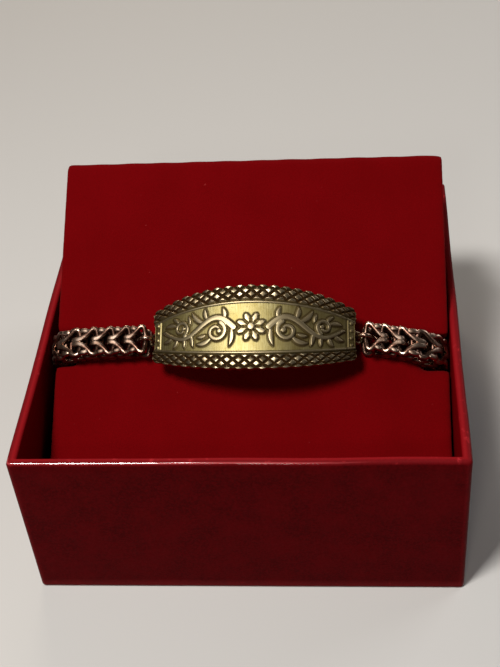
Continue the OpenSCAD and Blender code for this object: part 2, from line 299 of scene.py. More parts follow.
def shell_profile():
    """Rows of (inset, height, wear, lining) up the outside, over the rim and down to the floor."""
    foot, rim = np.linspace(0, math.pi / 2, 5), np.linspace(0, math.pi / 2, 6)
    wrap_end = BOX_HEIGHT - TURNED_IN
    outer = [(FOOT_R * (1 - math.sin(t)), FOOT_R * (1 - math.cos(t)), 0.7) for t in foot]
    outer += [(0, z, 0.0) for z in np.linspace(2.5, BOX_HEIGHT - 3, 9)]
    outer += [(RIM_R * (1 - math.cos(t)), BOX_HEIGHT - RIM_R * (1 - math.sin(t)), math.sin(t))
              for t in rim]
    inner = [(WALL - RIM_R * (1 - math.sin(t)), BOX_HEIGHT - RIM_R * (1 - math.cos(t)), math.cos(t))
             for t in rim]
    inner += [(WALL, z, 0.0) for z in np.linspace(BOX_HEIGHT - 3, wrap_end, 5)]
    inner += [(WALL - PAPER_T, wrap_end - 0.1, 0.3)]
    inner += [(WALL - PAPER_T, z, 0.0) for z in np.linspace(wrap_end - 2, FLOOR + 0.6, 4)]
    inner += [(WALL + 0.4, FLOOR, 0.0)]
    return [(*row, 0.0) for row in outer] + [(*row, 1.0) for row in inner]


print("the profile has", len(shell_profile()), "rows, up to", round(BOX_HEIGHT, 1), "mm")

# %% The wrapped shell
LEAN, SWAY, DIP = 0.12, 0.10, 0.08      # how much the walls lean in, sway and dip at the rim
BRIGHT_END, BRIGHT_FADE = 24.0, 14.0    # where the lit line ends on the right, and its fading length


def square_ring(inset):
    """Points round a square with rounded corners, and how near each is to a corner."""
    size, r = BOX_HALF - inset, max(CORNER_R - inset, 0.25)
    run = size - r
    stations = np.concatenate([[-run, -run + 0.4, -run + 1.2], np.linspace(-run + 5, run - 5, 13),
                               [run - 1.2, run - 0.4]])
    side = [(size, w) for w in stations]
    bend = [(run + r * math.cos(t), run + r * math.sin(t))
            for t in np.linspace(0, math.pi / 2, 7)[:-1]]
    near = [0.6] + [0.0] * (len(side) - 1) + [1.0] * len(bend)
    points = []
    for turn in range(4):
        sin, cos = math.sin(turn * math.pi / 2), math.cos(turn * math.pi / 2)
        points += [(cos * x - sin * y, sin * x + cos * y) for x, y in side + bend]
    return np.array(points), np.array(near * 4)


def box_shell():
    points, worn_and_rim_lit, painted_inner_light, gloss_and_painted_highlight = [], [], [], []
    for inset, z, wear_and_rim_light, inside in shell_profile():
        ring, corner = square_ring(inset)
        x, y = ring.T
        up = z / BOX_HEIGHT
        sway = SWAY * np.sin(x * 0.21 + 1) * np.cos(y * 0.17) * up
        dip = DIP * (1 - np.sin(x * 0.16 + y * 0.23)) * up ** 6
        out = ring / np.abs(ring).max(axis=1, keepdims=True)
        x, y = (ring - out * (LEAN + sway[:, None]) * up).T
        points.append(np.column_stack([x, y, z - dip]))
        # pale edges: wear at the foot and corners, and painted light along the rim
        worn_and_rim_lit.append(np.maximum(wear_and_rim_light, 0.30 * corner) if inset < 1 else np.full(len(ring), wear_and_rim_light))
        # painted light on every row inside the box
        painted_inner_light.append(np.full(len(ring), inside))
        # the row where the coat mirrors the front lamp; a pale highlight is painted there too, fading to
        # the right
        lit_row = float(0.2 < inset < 0.5 and z > BOX_HEIGHT / 2)     # it mirrors the front lamp
        on_front = y < 1.5 - BOX_HALF
        gloss_and_painted_highlight.append(lit_row * on_front * np.clip((BRIGHT_END - x) / BRIGHT_FADE, 0, 1))
    rings, around = len(points), len(points[0])
    faces = tube_faces(rings, around, closed=False)
    faces.append(range(around)[::-1])
    faces.append(range((rings - 1) * around, rings * around))
    masks = {"edge": np.concatenate(worn_and_rim_lit), "painted_inner_light": np.concatenate(painted_inner_light),
             "gloss_and_painted_highlight": np.concatenate(gloss_and_painted_highlight)}
    add_piece("box_base_wrapped", np.concatenate(points) * MM, faces, paper, "box_paper", "box_tray",
              masks=masks)


box_shell()

# %% [markdown]
# ## The velour insert
# The insert is a board covered in short velour: flat, but soft at every edge, and pressed in a
# little where the chain grips it. Its solid already has the slope, the legs and the slots for the
# chain, so the quickest true form is that solid, rebuilt as an even mesh and relaxed until its
# edges are round. An even mesh also lets the face swell and dimple slightly, as covered foam does.

# %% Velour finish
def velour_finish():
    velour = Finish("velour", roughness=0.95, sheen_weight=0.10, sheen_roughness=0.5,
                    sheen_tint=(1.0, 0.08, 0.08, 1), ior=1.1)
    where = velour.place()
    pile = velour.noise(where, 0.22, detail=3, roughness=0.7)
    stroke = velour.noise(velour.place((0.9, 0.35, 0.35)), 5.0, detail=3)
    patches = velour.noise(where, 14.0, detail=2)
    shade = velour.ramp(patches + 0.4 * stroke, 0.45, 0.95)
    red = velour.mix(shade, (0.145, 0.0006, 0.0016), (0.170, 0.0008, 0.0022))
    red = velour.mix(velour.ramp(pile, 0.3, 0.7, light=0.55), red, (0.085, 0.0004, 0.0010))
    lint = velour.ramp(velour.noise(where, 0.9, detail=1), 0.80, 0.84, light=0.25)
    red = velour.mix(lint, red, (0.40, 0.05, 0.05))
    velour.surface(base_color=red, normal=velour.bump(pile, 0.07, velour.bump(stroke, 0.12)))
    return velour


velour = velour_finish()
print("velour is mixed")

# %% The covered board
def relaxed_copy(node, name, voxel, passes):
    """A copy of a solid as an even mesh with rounded edges."""
    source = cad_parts[node]
    copy = bpy.data.objects.new(name, source.data.copy())
    bpy.context.scene.collection.objects.link(copy)
    changes = (("REMESH", {"mode": "VOXEL", "voxel_size": voxel * MM, "use_smooth_shade": True}),
               ("SMOOTH", {"factor": 0.5, "iterations": passes}))
    for kind, settings in changes:
        modifier = copy.modifiers.new(kind.lower(), kind)
        for key, setting in settings.items():
            setattr(modifier, key, setting)
    evaluated = copy.evaluated_get(bpy.context.evaluated_depsgraph_get())
    mesh = bpy.data.meshes.new_from_object(evaluated)
    bpy.data.objects.remove(copy)
    made = bpy.data.objects.new(name, mesh)
    bpy.context.scene.collection.objects.link(made)
    return made


def insert_cover():
    cover = relaxed_copy("ramp_insert", "velour_insert", voxel=0.8, passes=7)
    mesh = cover.data
    points = np.empty(len(mesh.vertices) * 3, np.float32)
    mesh.vertices.foreach_get("co", points)
    points = points.reshape(-1, 3) / MM
    across, along = points[:, 0], points[:, 1]
    swell = 0.18 * np.cos(across / 26) * np.cos((along + 7) / 24)
    dimple = 0.07 * np.sin(across * 0.41 + 2) * np.sin(along * 0.37)
    dimple += 0.05 * np.sin(across * 0.9 + along * 0.7)
    normals = np.empty(len(mesh.vertices) * 3, np.float32)
    mesh.vertices.foreach_get("normal", normals)
    upward = np.clip(normals.reshape(-1, 3)[:, 2], 0, 1)
    points[:, 2] += upward * (swell + dimple)
    mesh.vertices.foreach_set("co", (points * MM).ravel().astype(np.float32))
    mesh.materials.clear()
    mesh.materials.append(velour.material)
    mesh.shade_smooth()
    dress(cover, "velour", "ramp_insert")


insert_cover()

# %% [markdown]
# ## Gold
# The plate's field is satin gold, brushed across its length, and its scrolls, beads, bars and
# grains are polished. The borders' diamonds are a warmer gold, bright on top. Painted shade darkens
# each cut, and gathers towards the plate's ends, on the right most of all. The chain is a redder
# gold: pale and polished along its wires, satin on the flats where it was burnished, and darkened
# with painted shade inside and between the waist and the ears of each link. Each mesh carries masks
# that say where it is polished and where shade is painted, so one mix serves all the plate, and one
# the chain.

# %% Gold finishes
def plate_finish():
    gold = Finish("plate_gold", metallic=1.0)
    where = gold.painted("plate_place", output="Vector")
    polish, painted_shade_and_tone, border = (gold.painted(mask) for mask in ("polish", "painted_shade_and_tone", "border"))
    brushed = gold.noise(gold.stretched(where, (1.0, 0.045, 1.0)), 0.16, detail=3, roughness=0.75)
    broad = gold.noise(where, 3.5, detail=3)
    rubbed = gold.noise(gold.place((0.3, 1.6, 0.8)), 0.7, detail=6, roughness=0.8)
    scratch = gold.ramp(rubbed, 0.62, 0.66)
    satin = gold.mix(gold.ramp(brushed, 0.3, 0.7), (0.17, 0.130, 0.034), (0.40, 0.350, 0.180))
    satin = gold.mix(gold.ramp(broad, 0.42, 0.68, light=0.6), satin, (0.19, 0.143, 0.036))
    bright = gold.mix(broad, (0.30, 0.24, 0.14), (0.40, 0.33, 0.20))
    facet = gold.mix(broad, (0.27, 0.205, 0.115), (0.48, 0.405, 0.275))
    ground = gold.mix(border, satin, (0.13, 0.080, 0.033))
    colour = gold.mix(polish, ground, gold.mix(border, bright, facet))
    # painted shade: darker in the cuts, round the strokes and towards the plate's ends
    colour = gold.mix(painted_shade_and_tone * 0.85, colour, (0.036, 0.017, 0.005))
    rough = (1 - polish) * (0.37 + 0.20 * brushed) + polish * (0.36 + 0.10 * broad - 0.12 * border)
    gold.surface(base_color=colour, roughness=rough + 0.2 * painted_shade_and_tone + 0.1 * scratch,
                 normal=gold.bump(brushed * (1 - polish), 0.02, gold.bump(scratch, 0.003)))
    return gold


def chain_finish():
    gold = Finish("chain_gold", metallic=1.0)
    where = gold.place()
    flat, painted_shade_and_tone = gold.painted("flat"), gold.painted("painted_shade_and_tone")
    broad = gold.noise(where, 1.6, detail=3)
    rub = gold.ramp(gold.noise(where, 0.35, detail=5, roughness=0.75), 0.55, 0.75)
    satin = gold.mix(gold.ramp(broad, 0.35, 0.65), (0.13, 0.080, 0.056), (0.28, 0.205, 0.160))
    bright = gold.mix(broad, (0.44, 0.275, 0.200), (0.62, 0.440, 0.345))
    # painted shade inside the chain and on the arms of each link, and a darker tone on the rings
    colour = gold.mix(painted_shade_and_tone * 0.9, gold.mix(flat, bright, satin), (0.055, 0.016, 0.008))
    gold.surface(base_color=colour, roughness=0.24 + 0.21 * flat + 0.08 * rub + 0.10 * painted_shade_and_tone,
                 normal=gold.bump(rub, 0.012, gold.bump(broad, 0.04)))
    return gold


plate_gold = plate_finish()
chain_gold = chain_finish()
print("golds are mixed")

# %% [markdown]
# ## The plate
# The plate is one casting: a lens-shaped field with a bead round it, a border of cross-cut
# diamonds along each long side, a bar and a row of grains at each end, and scrollwork in the
# middle. Strokes laid on as tubes would look stuck on, so the whole top is one fine grid whose
# points are raised and lowered. Every column of the grid is a cross section of the plate, so the
# sides, the hollow underside and the ends close up without a seam.

# %% The plate's sizes
PLATE_X = 2.1               # middle of the plate, off the box's middle
PLATE_L = 44.2              # along its curve
PLATE_R = 33.0              # radius of its outer face
PLATE_RISE = 12.4           # height of its top above the insert
PLATE_T = 2.5
PLATE_CENTRE = PLATE_RISE - PLATE_R
FIELD = (11.5, 6.3)         # width of the field in the middle and at the ends
OUTLINE = (17.1, 10.1)      # width of the whole plate there
CUTS = 38                   # half diamonds along it
BAND_ROWS = 3               # half diamonds across a border


def lens(widths, s):
    """Half the width, at s along the plate, of an outline that is an arc from end to end."""
    middle, end = widths
    sag, reach = (middle - end) / 2, PLATE_L / 2
    r = (reach * reach + sag * sag) / (2 * sag)
    return middle / 2 - r + np.sqrt(r * r - s * s)


def on_plate(s, w, h):
    """A place on the curved plate: s along it, w across it, h above its field."""
    turn = s / PLATE_R
    return off_slope(np.stack([PLATE_X + (PLATE_R + h) * np.sin(turn), w,
                               PLATE_CENTRE + (PLATE_R + h) * np.cos(turn)], axis=-1))


print("field is", 2 * lens(FIELD, 0.0), "mm wide in the middle and",
      round(2 * lens(FIELD, PLATE_L / 2), 1), "at the ends")

# %% [markdown]
# ### Scrollwork
# A vine sways from a rosette to each end. Every stroke is a path with a width that swells and
# thins, so its edge is a distance: how far a point is from the path, less the stroke's half
# width there. The same distance raises the stroke, rounds its shoulder and cuts the groove
# that sets it off from the field, darkened there with painted shade.

# %% Strokes
VINE_START, VINE_END = 3.5, 18.4
CURLS = (                   # s and w of its middle, side, radius, half width
    (7.05, -0.72, 1, 2.00, 0.52),
    (14.75, 0.52, -1, 1.62, 0.43))
LEAVES = (                  # s and w of its root, heading, length, bend, half width
    (9.90, 1.30, 22, 3.5, 50, 0.62), (9.00, 1.95, 62, 2.4, 40, 0.58),
    (5.30, 1.95, 96, 2.3, -40, 0.58), (3.90, -0.45, -98, 3.5, 34, 0.62),
    (8.35, -2.20, -42, 3.2, 58, 0.62), (9.35, -1.40, -20, 1.9, 30, 0.46),
    (12.40, -1.15, -92, 2.4, -20, 0.54), (14.10, -1.65, -96, 1.8, 10, 0.46),
    (15.75, -1.60, -78, 1.9, 45, 0.48), (17.10, -1.00, -40, 2.2, 45, 0.46),
    (16.10, 1.35, 18, 2.7, -40, 0.50), (15.50, 1.80, 62, 1.8, -50, 0.46),
    (18.20, 0.05, 25, 1.4, -25, 0.42), (12.72, 1.45, 84, 1.7, -20, 0.44))


def vine():
    """The main stroke. Every stroke is rows of (s, w, half width)."""
    path = []
    for t in np.linspace(0, 1, 37):
        sway = 2.35 * (1 - 0.42 * t) * math.sin(2 * math.pi * t)
        path.append((VINE_START + (VINE_END - VINE_START) * t, sway, 0.72 - 0.36 * t))
    return path


def curl(s, w, side, r, half):
    """A spiral that winds in towards its middle."""
    path = []
    for t in np.linspace(0, 1, 33):
        turn, reach = math.radians(420 * t - 62), r * (1 - 0.64 * t)
        path.append((s - reach * math.cos(turn), w - side * reach * math.sin(turn), half * (1 - 0.35 * t)))
    return path


def leaf(s, w, heading, length, bend, half):
    """A stroke that swells, bends and comes to a point."""
    path = []
    for t in np.linspace(0, 1, 11):
        path.append((s, w, half * (0.5 + 1.75 * t - 2.1 * t * t)))
        turn = math.radians(heading + bend * t)
        s, w = s + length / 10 * math.cos(turn), w + length / 10 * math.sin(turn)
    return path


def petal(k):
    """One of the rosette's eight petals."""
    turn = math.pi / 4 * (k + 0.5)
    rows = ((1.15, 0.30), (2.0, 0.66), (2.5, 0.52), (2.95, 0.14))
    return [(r * math.cos(turn), r * math.sin(turn), half) for r, half in rows]


def knob(s, w, r):
    """A round boss."""
    return [(s, w, r), (s + 0.01, w, r)]


print("the vine starts", 2 * vine()[0][2], "mm wide, and the first leaf ends",
      round(2 * leaf(*LEAVES[0])[-1][2], 2), "mm wide")

# %% From strokes to heights
def edge_distance(s, w, path):
    """Distance from each point to the edge of a stroke, less than nothing inside it."""
    best = np.full(s.shape, 9.0)
    for (s0, w0, r0), (s1, w1, r1) in zip(path, path[1:]):
        ds, dw = s1 - s0, w1 - w0
        t = np.clip(((s - s0) * ds + (w - w0) * dw) / (ds * ds + dw * dw), 0, 1)
        gone = np.hypot(s - s0 - t * ds, w - w0 - t * dw) - (r0 + (r1 - r0) * t)
        best = np.minimum(best, gone)
    return best


def step(low, high, x):
    """A smooth step from 0 at low to 1 at high. It falls where low is the larger."""
    t = np.clip((x - low) / (high - low), 0, 1)
    return t * t * (3 - 2 * t)


def ridge(distance, half):
    """1 on a ridge's crest, and 0 from half its width on."""
    return np.clip(1 - (distance / half) ** 2, 0, 1)


def groove(distance, width):
    """1 in the middle of a soft line, fading out over about its width."""
    return np.exp(-(distance / width) ** 2)


print("half way out, a ridge keeps", ridge(0.5, 1.0), "of its height and a groove",
      round(groove(0.5, 1.0), 2), "of its depth")

# %% Relief of the field
STROKES = [(vine(), 0.42), (knob(0, 0, 0.80), 0.66)]       # each with its height
STROKES += [(curl(*row), 0.50) for row in CURLS]
STROKES += [(leaf(*row), 0.36) for row in LEAVES]
STROKES += [(petal(k), 0.46) for k in range(8)]
STROKES += [(knob(*curl(*row)[-1][:2], 1.1 * row[4]), 0.62) for row in CURLS]


def relief(s, w):
    """Height, polish, and the painted shade of the dark line round each stroke, at points of the field."""
    height = np.zeros(s.shape)
    nearest = np.full(s.shape, 9.0)
    for path, high in STROKES:
        gone = edge_distance(np.abs(s), w, path)
        height = np.maximum(height, high * step(0.10, -0.14, gone) + 0.07 * np.clip(-gone, 0, 1))
        nearest = np.minimum(nearest, gone)
    outline = groove(nearest - 0.20, 0.12)
    return height - 0.07 * outline, step(0.02, -0.08, nearest), outline


print(len(STROKES), "strokes in the scrollwork")

# %% [markdown]
# ### Cut borders
# A border is crossed by two sets of slanting cuts, which leave rows of flat-topped diamonds. In
# the grid of half diamonds, the distance to the nearest cut is a plain formula. Each top is
# tilted a little its own way, as hand cutting leaves it, so the diamonds flash one by one.

# %% Cut diamonds
TILTS = 64                  # the tilts repeat after so many diamonds
tilts = rng.uniform(-1, 1, (2, TILTS, TILTS))


def diamonds(x, y, border):
    """Height, polish and painted shade in the cuts, at x half diamonds along and y across a border."""
    u, v = (x + y) / 2, (x - y) / 2
    cell_u, cell_v = np.rint(u), np.rint(v)
    from_middle = 2 * np.maximum(np.abs(u - cell_u), np.abs(v - cell_v))
    from_cut = 1 - from_middle
    rise = np.clip((from_cut - 0.08) / 0.34, 0, 1)
    index = (cell_u.astype(int) % TILTS, (cell_v.astype(int) + 31 * border) % TILTS)
    tilt = tilts[0][index] * (x - cell_u - cell_v) + tilts[1][index] * (y - cell_u + cell_v)
    height = 0.10 + 0.38 * rise + 0.13 * tilt * step(0.2, 0.5, from_cut) + 0.02 * step(0.5, 1, from_cut)
    bright = 0.8 + 0.2 * tilts[0][index]
    return height, bright * step(0.26, 0.44, from_cut), step(0.40, 0.20, from_cut)


print("tilt of the first diamond:", tilts[:, 0, 0].round(2))

# %% [markdown]
# ### The casting
# A cross section runs from the middle of the field out to the bead, over the border, round the
# edge and back underneath. It is worked out for one half, and the other half mirrors it. The
# outer edge swells where a diamond ends and dips where a cut runs out.

# %% Rows of the plate's cross section
STEPS = 10                  # columns to a half diamond
BEAD_IN = 0.5               # middle of the bead, in from the field's edge
BEAD_HALF, BAR_HALF, GRAIN_R = 0.27, 0.17, 0.44
BAR_S, GRAIN_S = PLATE_L / 2 - 1.75, PLATE_L / 2 - 0.95
GRAIN_PITCH = (lens(FIELD, BAR_S) - 0.5) / 2


def field_rows(s, border):
    """Columns of (w, height, polish, deep, border) from the middle to the field's edge."""
    edge = lens(FIELD, s)
    w = np.concatenate([np.linspace(0, 1, 46)[:-1, None] * (edge - 0.8),
                        edge - np.linspace(0.8, 0.0, 10)[:, None]])
    along = np.broadcast_to(s, w.shape)
    height, polish, painted_shade_and_tone = relief(along, w * border)
    grain_w = GRAIN_PITCH * (np.clip(np.rint(w / GRAIN_PITCH - 0.5), 0, 1) + 0.5)
    bead = ridge(w - edge + BEAD_IN, BEAD_HALF)
    bar = ridge(np.abs(along) - BAR_S, BAR_HALF) * (w < edge - 0.75)
    grain = ridge(np.hypot(np.abs(along) - GRAIN_S, w - grain_w), GRAIN_R)
    for swell, high, bright in ((bead, 0.20, 1.0), (bar, 0.20, 0.45), (grain, 0.26, 0.6)):
        height = np.maximum(height, high * np.sqrt(swell))
        polish = np.maximum(polish, bright * step(0.1, 0.5, swell))
    height = height - 0.22 * groove(w - edge, 0.12)
    # painted shade in the groove at the field's edge and beside each bar
    painted_cut_shade = groove(w - edge, 0.16) + 0.6 * groove(np.abs(along) - BAR_S + 0.5, 0.12)
    # painted shade towards the ends, most on the right
    painted_end_shade = 0.2 * step(13, 21, np.abs(along)) + 0.45 * step(4, 11, along)      # most on the right
    return w, height, polish, np.clip(painted_shade_and_tone + painted_cut_shade + painted_end_shade, 0, 1), np.zeros(w.shape)


def border_rows(s, border):
    """The same columns over the cut border, from the field's edge outwards."""
    rows = 8 * BAND_ROWS + 1
    x = np.broadcast_to(CUTS * (s / PLATE_L + 0.5), (rows, len(s)))
    y = np.linspace(0, BAND_ROWS, rows)[:, None]
    inner = lens(FIELD, s) + 0.12
    outer = lens(OUTLINE, s) - 0.12 * np.cos(math.pi * x[0])
    w = inner + (outer - inner) * y / BAND_ROWS
    height, polish, painted_shade_and_tone = diamonds(x, np.broadcast_to(y, x.shape), border)
    # painted shade gathered at the ends
    painted_shade_band = 0.62 * step(12, 21, np.abs(s)) + 0.3 * step(4, 11, s)     # gathered at the ends
    return w, height, polish, np.maximum(painted_shade_and_tone, painted_shade_band), np.ones(x.shape)


def side_rows(outer, height):
    """The same columns round the outer edge and back to the middle underneath."""
    foot = outer - 0.9
    w = [outer + 0.06, outer + 0.05, outer, outer - 0.12, outer - 0.42, foot]
    h = [height - 0.12, height * 0.4 - 0.3]
    h += [level + 0 * height for level in (-0.8, -1.5, -2.2, -PLATE_T)]
    for share in (0.8, 0.6, 0.4, 0.2, 0.0):
        w.append(foot * share)
        h.append(-PLATE_T + 0 * height)
    flat = np.ones((len(w), len(outer)))
    return np.array(w), np.array(h), 0.75 * flat, 0 * flat, flat


print("grains lie", round(GRAIN_PITCH, 2), "mm apart, and the bars", round(BAR_S, 2), "mm out")

# %% Close the casting
END_BEVEL = 0.12            # the end faces start this far back, and this far down


def casting_half(s, border):
    """All the columns of one half, from the middle on top to the middle underneath."""
    parts = [field_rows(s, border), border_rows(s, border)]
    parts.append(side_rows(parts[1][0][-1], parts[1][1][-1]))
    return [np.concatenate(columns) for columns in zip(*parts)]


def casting():
    """The plate without its lugs, as points, faces and masks."""
    end_s = PLATE_L / 2
    s = np.linspace(-end_s, end_s, CUTS * STEPS + 1)
    upper, lower = casting_half(s, 1), casting_half(s, -1)
    lower[0] = -lower[0]
    w, h, polish, painted_shade_and_tone, border = (np.concatenate([a, b[-2:0:-1]]).T for a, b in zip(upper, lower))
    s = np.broadcast_to(s[:, None], w.shape).copy()
    s[0] += END_BEVEL
    s[-1] -= END_BEVEL
    rows = [np.concatenate([v[:1], v, v[-1:]]) for v in (s, w, h, polish, painted_shade_and_tone, border)]
    for end, place in ((0, -end_s), (-1, end_s)):
        rows[0][end] = place
        rows[1][end] *= 0.975
        rows[2][end] = np.clip(rows[2][end] - END_BEVEL, 0.15 - PLATE_T, None)
    columns, around = rows[0].shape
    s, w, h, polish, painted_shade_and_tone, border = (v.ravel() for v in rows)
    faces = tube_faces(columns, around, closed=False)
    left, right, last = len(s), len(s) + 1, (columns - 1) * around
    for k in range(around):
        faces.append((k, left, (k + 1) % around))
        faces.append((last + (k + 1) % around, right, last + k))
    s, w, h = np.append(s, [-end_s, end_s]), np.append(w, [0, 0]), np.append(h, [-1.2, -1.2])
    masks = {"polish": np.append(polish, [0.5, 0.5]), "painted_shade_and_tone": np.append(painted_shade_and_tone, [0, 0]),
             "border": np.append(border, [1, 1]), "plate_place": np.stack([s, w, h], axis=-1)}
    return on_plate(s, w, h), faces, masks


def outward(points, faces):
    """The faces, turned over if together they enclose less than nothing."""
    volume = 0.0
    for face in faces:
        for b, c in zip(face[1:], face[2:]):
            volume += np.dot(points[face[0]], np.cross(points[b], points[c]))
    return faces if volume > 0 else [tuple(face)[::-1] for face in faces]


print("the casting has", CUTS * STEPS + 1, "cross sections")

# %% [markdown]
# ### Lugs
# A flat tongue on each end tapers to an eye for the ring. Cutting a hole in a flat piece leaves
# sharp edges, so each lug is made as a ring: a soft-edged strip is carried once round the hole,
# and where it passes the tongue it simply reaches further out.

# %% Lugs
LUG_OUT, LUG_ROOT, LUG_T = 1.45, 4.6, 0.8       # the hole's distance, the root's width, thickness
LUG_R, LUG_HOLE_R = 1.38, 0.84
TONGUE_FROM = 0.35                              # behind the hole's middle
END_TURN = PLATE_L / 2 / PLATE_R
MIDDLE_R = PLATE_R - PLATE_T / 2


def beyond_end(side, out, w, rise):
    """A place past the plate's end: out along its tangent, w across, rise above its mid-thickness."""
    r, sin, cos = MIDDLE_R + rise, math.sin(END_TURN), math.cos(END_TURN)
    x = PLATE_X + side * (r * sin + out * cos)
    z = PLATE_CENTRE + r * cos - out * sin
    return off_slope(np.stack([x, w, z], axis=-1))


def lug_reach(turn):
    """How far the lug reaches from its hole: to the round eye, or to the tongue behind it."""
    tries = np.linspace(LUG_R, 3.2, 120)
    out, w = tries * math.cos(turn), tries * math.sin(turn)
    eye = 0.9 * LUG_R
    tongue = eye + (LUG_ROOT / 2 - eye) * (-TONGUE_FROM - out) / (LUG_OUT + 0.15)
    inside = (out < -TONGUE_FROM) & (out > -LUG_OUT - 0.5) & (np.abs(w) < tongue)
    return tries[inside].max() if inside.any() else LUG_R


def lug(side):
    """A flat tongue with round edges that tapers to an eye, as (points, faces)."""
    soft = ((0.26, 0.0), (0.08, 0.08), (0.0, 0.26))     # from the flat side, and from the edge
    rows = []
    for turn in np.linspace(0, 2 * math.pi, 61)[:-1]:
        reach = lug_reach(turn)
        strip = [(LUG_HOLE_R + a, LUG_T / 2 - b) for a, b in soft[::-1]]
        strip += [(reach - a, LUG_T / 2 - b) for a, b in soft]
        strip += [(reach - a, b - LUG_T / 2) for a, b in soft[::-1]]
        strip += [(LUG_HOLE_R + a, b - LUG_T / 2) for a, b in soft]
        rows += [(LUG_OUT + r * math.cos(turn), r * math.sin(turn), rise) for r, rise in strip]
    eye = beyond_end(side, *np.array(rows).T)
    return eye, outward(eye, tube_faces(60, 12))


print("a lug reaches", round(lug_reach(math.pi), 2), "mm back from its hole")

# %% The whole plate
def join(meshes):
    """Several (points, faces) as one."""
    points, faces, count = [], [], 0
    for part_points, part_faces in meshes:
        faces += [tuple(count + k for k in face) for face in part_faces]
        points.append(part_points)
        count += len(part_points)
    return np.concatenate(points), faces


def id_plate():
    points, faces, masks = casting()
    count = len(points)
    points, faces = join([(points, outward(points, faces)), lug(-1), lug(1)])
    extra = len(points) - count
    masks["plate_place"] = np.concatenate([masks["plate_place"], points[count:] / MM])
    # the lugs are a little darker all over
    for mask, value in (("polish", 0.7), ("painted_shade_and_tone", 0.15), ("border", 1.0)):
        masks[mask] = np.append(masks[mask], np.full(extra, value))
    add_piece("id_plate_cast", points, faces, plate_gold, "plate_gold", "id_plate", masks=masks)


id_plate()

# %% [markdown]
# ## The chain
# A square foxtail chain is one folded link over and over. Each link is an oval of wire bent into
# a narrow waist with two ears, and it is turned a quarter from the last, so that the ears of one
# clasp the waists of the two before it. Seen from any side, the ears make a row of arrowheads.
# One link is made as a tube and then carried along the chain's route, which leaves the plate's
# ring, lies on the velour and wraps the board's edges.

# %% The chain's route
CHAIN_W, CHAIN_T = 6.2, 5.3     # across the slope, and out of it
LIE_Z = CHAIN_T / 2 + 0.15      # the chain's middle where it lies on the velour
BOARD_T = 12.0                  # what it wraps at the insert's sides
BEND_R, LEAD_L = 6.5, 6.0       # the bends there, and the bow down from the plate's joint
CLASP_HALF = 7.4                # from the clasp's middle to the end of a run
SIDE_X = BOX_HALF - WALL - CHAIN_T / 2 - 0.3
JOINT_X = MIDDLE_R * math.sin(END_TURN) + LUG_OUT * math.cos(END_TURN)
JOINT_Z = PLATE_CENTRE + MIDDLE_R * math.cos(END_TURN) - LUG_OUT * math.sin(END_TURN)
LEAD_TURN = 2 * math.atan((JOINT_Z - LIE_Z) / LEAD_L)
DRIFT = {-1: (0.45, 18), 1: (2.2, 18)}      # how far each run wanders down the slope, and by where


def route(side):
    """Rows of (length, turn) from the plate's joint, over the edge and back underneath."""
    flat = SIDE_X - side * PLATE_X - JOINT_X - BEND_R - LEAD_L * math.cos(LEAD_TURN / 2)
    bend = (BEND_R * math.pi / 2, -math.pi / 2)
    return [(LEAD_L, LEAD_TURN), (flat, 0), bend, (BOARD_T + 2 * LIE_Z - 2 * BEND_R, 0), bend,
            (SIDE_X - side * PLATE_X - BEND_R - CLASP_HALF, 0)]


def advance(x, z, heading, length, turn, whole):
    """The place and heading after some of a row whose whole length turns by turn."""
    if turn == 0:
        return x + length * np.cos(heading), z + length * np.sin(heading), heading + 0 * length
    r, after = whole / turn, heading + turn * length / whole
    return x + r * (np.sin(after) - np.sin(heading)), z - r * (np.cos(after) - np.cos(heading)), after


def beside(side, along, up, out):
    """Places beside the route: along it from the joint, up the slope and out of it."""
    at, start = (0.0, JOINT_Z, -LEAD_TURN), 0.0
    x, z, heading = np.zeros(along.shape), np.zeros(along.shape), np.zeros(along.shape)
    for length, turn in route(side):
        here = along >= start if start else np.full(along.shape, True)
        for field, value in zip((x, z, heading), advance(*at, along[here] - start, turn, length)):
            field[here] = value
        at = tuple(float(v) for v in advance(*at, length, turn, length))
        start += length
    drop, over = DRIFT[side]
    wander = -drop * step(0, over, x)
    return off_slope(np.stack([PLATE_X + side * (JOINT_X + x - out * np.sin(heading)), up + wander,
                               z + out * np.cos(heading)], axis=-1))


print("the left run of chain is", round(sum(l for l, _ in route(-1)), 1), "mm, and the right",
      round(sum(l for l, _ in route(1)), 1))

# %% One folded link
LINK_STEP, LINK_WIRE_R, WIRE_SIDES = 1.7, 0.52, 14
QUARTER = (                     # (out, along, spread) from the waist over one ear to the link's end
    (2.54, 0.09, 0.38), (2.60, 1.30, 0.40), (2.24, 2.60, 1.50), (2.16, 3.50, 2.52),
    (1.98, 4.35, 2.44), (1.27, 4.62, 0.0))


def rounded(corners, share=0.36, steps=4):
    """A closed path whose corners are short curves."""
    path = []
    for before, corner, after in zip(np.roll(corners, 1, axis=0), corners, np.roll(corners, -1, axis=0)):
        start, end = corner + share * (before - corner), corner + share * (after - corner)
        for t in np.linspace(0, 1, steps):
            path.append((1 - t) ** 2 * start + 2 * t * (1 - t) * corner + t * t * end)
    return np.array(path)


def tube(path, radius, middle, sides=WIRE_SIDES):
    """Rings of points round a closed path that goes round the point middle."""
    tangent = np.roll(path, -1, axis=0) - np.roll(path, 1, axis=0)
    tangent /= np.linalg.norm(tangent, axis=1, keepdims=True)
    outward_way = path - middle
    outward_way -= (outward_way * tangent).sum(axis=1, keepdims=True) * tangent
    outward_way /= np.linalg.norm(outward_way, axis=1, keepdims=True)
    sideways = np.cross(tangent, outward_way)
    turn = np.linspace(0, 2 * math.pi, sides + 1)[:-1]
    return (path[:, None] + radius * (np.cos(turn)[None, :, None] * outward_way[:, None]
                                      + np.sin(turn)[None, :, None] * sideways[:, None])).reshape(-1, 3)


